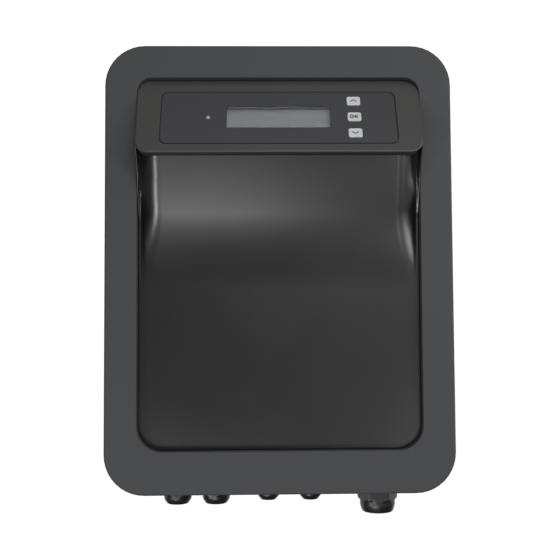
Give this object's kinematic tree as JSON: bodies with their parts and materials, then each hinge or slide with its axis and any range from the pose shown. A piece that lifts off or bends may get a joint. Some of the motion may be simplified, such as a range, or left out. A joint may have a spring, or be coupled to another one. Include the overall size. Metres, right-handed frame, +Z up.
{
  "type": "salt chlorine generator",
  "caption": "Wall-hung pool chlorinator control unit: framed case with a leaning keypad console, display, glossy front and cable glands below.",
  "frame": {"origin": "centre of the wall bracket's back face, on the wall", "axes": "+X to the right seen from the front, +Y into the wall, +Z up; the front faces -Y"},
  "size_m": [0.225, 0.105, 0.311],
  "materials": {
    "frame_plastic": "anthracite moulded ABS, fine matt grain",
    "head_plastic": "dark grey moulded ABS, satin",
    "gloss_black": "black moulded ABS with a polished skin",
    "case_plastic": "dark grey moulded ABS, matt",
    "label_film": "screen-printed polyester film, satin",
    "window_clear": "tinted clear acrylic",
    "light_pipe": "diffusing acrylic",
    "key_rubber": "light grey moulded keys",
    "lcd_panel": "liquid crystal cell, unlit",
    "bracket_steel": "zinc-plated folded sheet",
    "screw_steel": "stainless steel",
    "sink_aluminium": "extruded aluminium",
    "seal_rubber": "black moulded rubber",
    "gland_nylon": "black moulded nylon, satin",
    "circuit_board": "green solder mask on glass-fibre board",
    "terminal_green": "green moulded nylon",
    "black_component": "black moulded housings",
    "core_ferrite": "ferrite core with taped winding",
    "capacitor_sleeve": "aluminium can in a printed sleeve",
    "choke_copper": "enamelled copper winding on a powder core",
    "ribbon_grey": "grey flat cable",
    "fuse_glass": "glass tube fuse with metal caps"
  },
  "bodies": {
    "wall_bracket": {"wall_bracket": "bracket_steel"},
    "control_unit": {"board_screw_1": "screw_steel", "board_screw_2": "screw_steel", "bulk_capacitor": "capacitor_sleeve", "case_gasket": "seal_rubber", "cell_gland_body": "gland_nylon", "cell_gland_locknut": "gland_nylon", "cell_gland_nut": "gland_nylon", "cell_gland_seal": "seal_rubber", "cell_terminal": "terminal_green", "console_head": "head_plastic", "cover_screw_1": "screw_steel", "cover_screw_2": "screw_steel", "cover_screw_3": "screw_steel", "cover_screw_4": "screw_steel", "display_board": "circuit_board", "display_screw_1": "screw_steel", "display_screw_2": "screw_steel", "display_window": "window_clear", "fascia_panel": "gloss_black", "filter_choke": "core_ferrite", "flow_gland_body": "gland_nylon", "flow_gland_locknut": "gland_nylon", "flow_gland_nut": "gland_nylon", "flow_gland_seal": "seal_rubber", "front_frame": "frame_plastic", "fuse": "fuse_glass", "fuse_holder": "black_component", "heat_sink": "sink_aluminium", "key_switch_down": "black_component", "key_switch_ok": "black_component", "key_switch_up": "black_component", "keypad_label": "label_film", "lcd_frame": "screw_steel", "lcd_glass": "lcd_panel", "main_transformer": "core_ferrite", "mains_gland_body": "gland_nylon", "mains_gland_locknut": "gland_nylon", "mains_gland_nut": "gland_nylon", "mains_gland_seal": "seal_rubber", "mains_terminal": "terminal_green", "output_capacitor": "capacitor_sleeve", "output_choke": "choke_copper", "polarity_relay": "black_component", "power_board": "circuit_board", "probe_gland_body": "gland_nylon", "probe_gland_locknut": "gland_nylon", "probe_gland_nut": "gland_nylon", "probe_gland_seal": "seal_rubber", "pump_gland_body": "gland_nylon", "pump_gland_locknut": "gland_nylon", "pump_gland_nut": "gland_nylon", "pump_gland_seal": "seal_rubber", "rear_case": "case_plastic", "ribbon_cable": "ribbon_grey", "sensor_terminal": "terminal_green", "status_light_pipe": "light_pipe"},
    "key_up": {"key_up": "key_rubber"},
    "key_ok": {"key_ok": "key_rubber"},
    "key_down": {"key_down": "key_rubber"}
  },
  "joints": [
    {"name": "lift_off_bracket", "type": "slide", "parent": "wall_bracket", "child": "control_unit", "axis": [0, 0, 1], "range_m": [0, 0.008]},
    {"name": "key_up_press", "type": "slide", "parent": "control_unit", "child": "key_up", "axis": [0, 0.8988, -0.4384], "range_m": [0, 0.0005], "stiffness_N_per_m": 1000, "springref_m": -0.0005},
    {"name": "key_ok_press", "type": "slide", "parent": "control_unit", "child": "key_ok", "axis": [0, 0.8988, -0.4384], "range_m": [0, 0.0005], "stiffness_N_per_m": 1000, "springref_m": -0.0005},
    {"name": "key_down_press", "type": "slide", "parent": "control_unit", "child": "key_down", "axis": [0, 0.8988, -0.4384], "range_m": [0, 0.0005], "stiffness_N_per_m": 1000, "springref_m": -0.0005}
  ]
}
